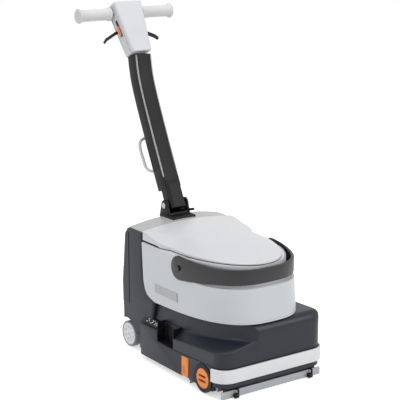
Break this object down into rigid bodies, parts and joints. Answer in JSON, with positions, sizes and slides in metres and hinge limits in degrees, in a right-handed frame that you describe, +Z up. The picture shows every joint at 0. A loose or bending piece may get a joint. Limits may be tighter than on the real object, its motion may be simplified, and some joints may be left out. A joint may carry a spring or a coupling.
{
  "type": "wet dry floor scrubber",
  "caption": "Compact walk-behind wet and dry floor scrubber: lift-off tank with hinged lid and bail, cylindrical brush, squeegees, rear wheels and a tilting handle column.",
  "frame": {"origin": "centre of the footprint, on the floor", "axes": "+Z up, -Y towards the bumper and the front, +Y towards the operator, -X the side with the low deck and the brush cap"},
  "size_m": [0.428, 0.914, 1.16],
  "materials": {
    "charcoal_abs": "fine moulded texture",
    "side_panel_abs": "fine moulded texture",
    "tank_polyethylene": "satin, rotationally moulded",
    "lid_abs": "satin gloss",
    "tub_polyethylene": "satin",
    "bumper_tpe": "satin",
    "orange_abs": "satin",
    "black_nylon": "fine moulded texture",
    "status_lens": "polished",
    "black_rubber": "matte",
    "grey_polyurethane": "satin",
    "nylon_bristle": "bristle",
    "zinc_steel": "zinc plated",
    "silver_strip": "satin",
    "wheel_nylon": "satin",
    "grip_tpe": "matte",
    "head_abs": "satin",
    "column_powder_coat": "powder coat",
    "bail_nylon": "satin",
    "cast_aluminium": "cast",
    "battery_case": "satin",
    "controller_case": "anodised",
    "pvc_hose": "satin"
  },
  "bodies": {
    "chassis": {"chassis_base": "cast_aluminium", "body_shell": "charcoal_abs", "rear_cover": "charcoal_abs", "top_cover": "tank_polyethylene", "side_panel_right": "side_panel_abs", "side_panel_left": "side_panel_abs", "bumper_strip": "bumper_tpe", "status_panel": "status_lens", "charging_socket": "black_nylon", "rear_axle": "zinc_steel", "battery_pack": "battery_case", "controller_box": "controller_case", "suction_motor": "black_nylon", "brush_motor": "black_nylon", "drive_belt": "black_rubber", "brush_port_ring": "black_nylon", "water_pump": "black_nylon", "solution_hose": "pvc_hose", "column_bracket": "column_powder_coat", "hinge_pin": "zinc_steel"},
    "wheel_right": {"wheel_hub_right": "wheel_nylon", "wheel_tyre_right": "black_rubber"},
    "wheel_left": {"wheel_hub_left": "wheel_nylon", "wheel_tyre_left": "black_rubber"},
    "brush": {"brush_spindle": "zinc_steel", "brush_roller": "nylon_bristle", "brush_pulley": "cast_aluminium"},
    "motor_pulley": {"motor_pulley": "cast_aluminium"},
    "fan": {"suction_fan": "wheel_nylon"},
    "brush_cap": {"brush_end_cover": "orange_abs"},
    "latch": {"side_latch": "orange_abs"},
    "front_squeegee": {"front_squeegee_frame": "black_nylon", "front_squeegee_blade": "grey_polyurethane"},
    "front_roller_right": {"front_roller_right": "black_nylon"},
    "front_roller_left": {"front_roller_left": "black_nylon"},
    "rear_squeegee": {"rear_squeegee_frame": "black_nylon", "rear_squeegee_blade": "grey_polyurethane"},
    "tank": {"solution_tank": "tank_polyethylene", "recovery_tank": "tub_polyethylene", "bail_pin_right": "zinc_steel", "bail_pin_left": "zinc_steel", "lid_hinge_pin": "zinc_steel"},
    "lid": {"tank_lid": "lid_abs", "lid_seal": "black_rubber"},
    "bail": {"bail_handle": "bail_nylon"},
    "float": {"float_ball": "wheel_nylon"},
    "column": {"column_tube": "column_powder_coat", "column_trim_right": "silver_strip", "column_trim_left": "silver_strip", "carry_loop": "tank_polyethylene", "head_front_shell": "head_abs", "head_rear_shell": "head_abs", "handle_bar": "zinc_steel", "grip_right": "grip_tpe", "grip_left": "grip_tpe", "switch_bezel": "black_nylon"},
    "lock_lever": {"lock_lever": "black_nylon"},
    "trigger_right": {"trigger_right": "black_nylon"},
    "trigger_left": {"trigger_left": "black_nylon"},
    "switch": {"vacuum_switch": "orange_abs"}
  },
  "joints": [
    {"name": "wheel_right_spin", "type": "hinge", "parent": "chassis", "child": "wheel_right", "pos_m": [0, 0.13508, 0.045], "axis": [1, 0, 0], "continuous": true},
    {"name": "wheel_left_spin", "type": "hinge", "parent": "chassis", "child": "wheel_left", "pos_m": [0, 0.13508, 0.045], "axis": [1, 0, 0], "continuous": true},
    {"name": "brush_spin", "type": "hinge", "parent": "chassis", "child": "brush", "pos_m": [0, -0.35292, 0.048], "axis": [1, 0, 0], "continuous": true},
    {"name": "motor_pulley_spin", "type": "hinge", "parent": "chassis", "child": "motor_pulley", "pos_m": [0.178, -0.24992, 0.15], "axis": [1, 0, 0], "continuous": true},
    {"name": "fan_spin", "type": "hinge", "parent": "chassis", "child": "fan", "pos_m": [0, 0.09708, 0.2413], "axis": [0, 0, 1], "continuous": true},
    {"name": "brush_cap_pull", "type": "slide", "parent": "chassis", "child": "brush_cap", "axis": [-1, 0, 0], "range_m": [0, 0.05]},
    {"name": "latch_swing", "type": "hinge", "parent": "chassis", "child": "latch", "pos_m": [-0.203, -0.25192, 0.083], "axis": [0, 1, 0], "range_deg": [0, 35]},
    {"name": "front_squeegee_float", "type": "slide", "parent": "chassis", "child": "front_squeegee", "axis": [0, 0, 1], "range_m": [0, 0.006]},
    {"name": "front_roller_right_spin", "type": "hinge", "parent": "front_squeegee", "child": "front_roller_right", "pos_m": [-0.148, -0.44862, 0.0085], "axis": [1, 0, 0], "continuous": true},
    {"name": "front_roller_left_spin", "type": "hinge", "parent": "front_squeegee", "child": "front_roller_left", "pos_m": [0.148, -0.44862, 0.0085], "axis": [1, 0, 0], "continuous": true},
    {"name": "rear_squeegee_float", "type": "slide", "parent": "chassis", "child": "rear_squeegee", "axis": [0, 0, 1], "range_m": [0, 0.006]},
    {"name": "tank_lift", "type": "slide", "parent": "chassis", "child": "tank", "axis": [0, 0, 1], "range_m": [0, 0.25]},
    {"name": "lid_open", "type": "hinge", "parent": "tank", "child": "lid", "pos_m": [0, 0.03033, 0.44], "axis": [-1, 0, 0], "range_deg": [0, 63]},
    {"name": "bail_swing", "type": "hinge", "parent": "tank", "child": "bail", "pos_m": [0, -0.18992, 0.365], "axis": [-1, 0, 0], "range_deg": [0, 95]},
    {"name": "float_rise", "type": "slide", "parent": "tank", "child": "float", "axis": [0, 0, 1], "range_m": [0, 0.04]},
    {"name": "column_tilt", "type": "hinge", "parent": "chassis", "child": "column", "pos_m": [0, 0.11308, 0.487], "axis": [-1, 0, 0], "range_deg": [-85, 12]},
    {"name": "lock_lever_lift", "type": "hinge", "parent": "chassis", "child": "lock_lever", "pos_m": [0.0488, 0.09908, 0.4628], "axis": [-1, 0, 0], "range_deg": [0, 25]},
    {"name": "trigger_right_squeeze", "type": "hinge", "parent": "column", "child": "trigger_right", "pos_m": [-0.0537, 0.3993, 1.0492], "axis": [0, 0.866, -0.5], "range_deg": [0, 18], "stiffness_Nm_per_rad": 0.4},
    {"name": "trigger_left_squeeze", "type": "hinge", "parent": "column", "child": "trigger_left", "pos_m": [0.0537, 0.3993, 1.0492], "axis": [0, -0.866, 0.5], "range_deg": [0, 18], "stiffness_Nm_per_rad": 0.4},
    {"name": "vacuum_switch_slide", "type": "slide", "parent": "column", "child": "switch", "axis": [-0.0891, 0.498, 0.8626], "range_m": [0, 0.017]}
  ],
  "couplings": [
    {"joint": "motor_pulley_spin", "follows": "brush_spin", "ratio": 2}
  ]
}
